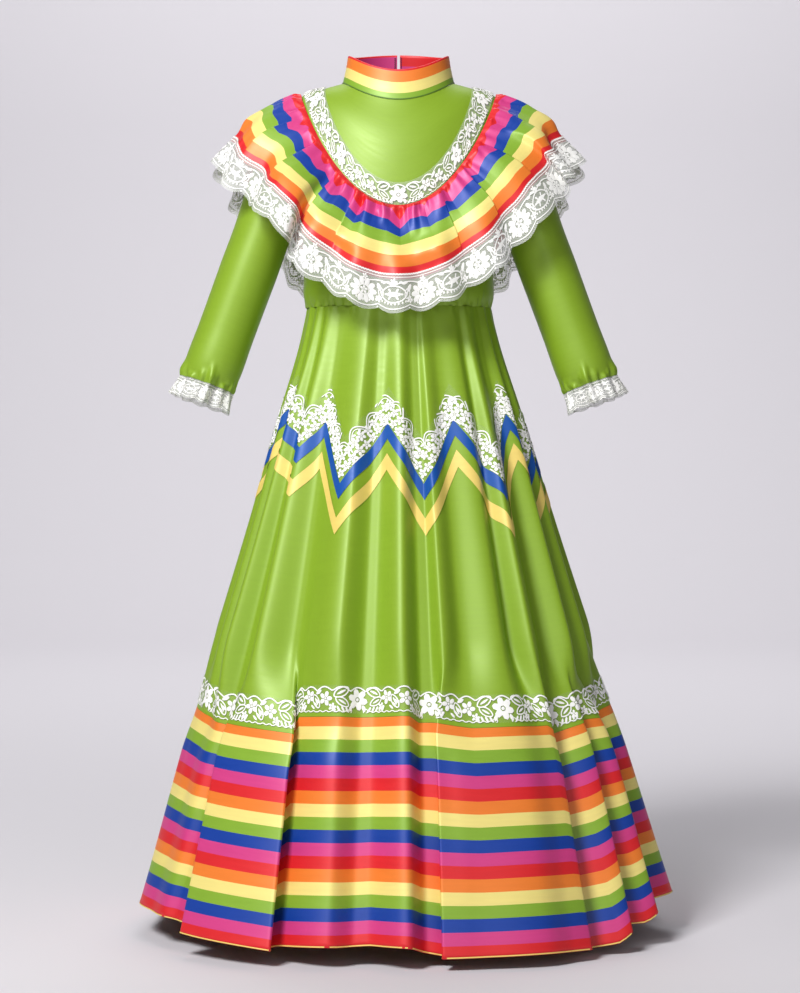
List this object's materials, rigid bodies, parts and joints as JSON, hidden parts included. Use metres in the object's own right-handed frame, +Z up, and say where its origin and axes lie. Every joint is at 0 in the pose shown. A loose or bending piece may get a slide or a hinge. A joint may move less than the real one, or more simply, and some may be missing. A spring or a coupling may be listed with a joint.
{
  "type": "child's folk dress",
  "caption": "Long satin folk dress with stand collar, deep lace-edged ruffle, long sleeves, zigzag trim and striped flounce, filled out as when worn.",
  "frame": {"origin": "the middle of the neck opening, level with the sides of the neck, where the dress rests on the shoulders", "axes": "+Z up along the body, -Y the front of the dress, +X the wearer's left"},
  "size_m": [0.6062, 0.579, 0.9994],
  "materials": {
    "green_satin": "smooth green satin with a soft sheen",
    "striped_satin": "satin printed in even cross stripes of red, pink, blue, green, yellow and orange",
    "white_lace": "white floral lace on a fine net, matt thread",
    "blue_ribbon": "blue satin ribbon",
    "yellow_ribbon": "yellow satin ribbon"
  },
  "bodies": {
    "root": {"collar": "striped_satin", "yoke_lace": "white_lace", "bodice_front": "green_satin", "bodice_back_left": "green_satin", "bodice_back_right": "green_satin", "back_placket": "green_satin", "sleeve_left": "green_satin", "sleeve_right": "green_satin", "cuff_lace_left": "white_lace", "cuff_lace_right": "white_lace", "ruffle_front": "striped_satin", "ruffle_back_left": "striped_satin", "ruffle_back_right": "striped_satin", "ruffle_lace_front": "white_lace", "ruffle_lace_back_left": "white_lace", "ruffle_lace_back_right": "white_lace", "skirt_front": "green_satin", "skirt_back": "green_satin", "zigzag_lace": "white_lace", "ribbon_blue": "blue_ribbon", "ribbon_yellow": "yellow_ribbon", "hem_lace": "white_lace", "flounce_front": "striped_satin", "flounce_back": "striped_satin"}
  },
  "joints": []
}
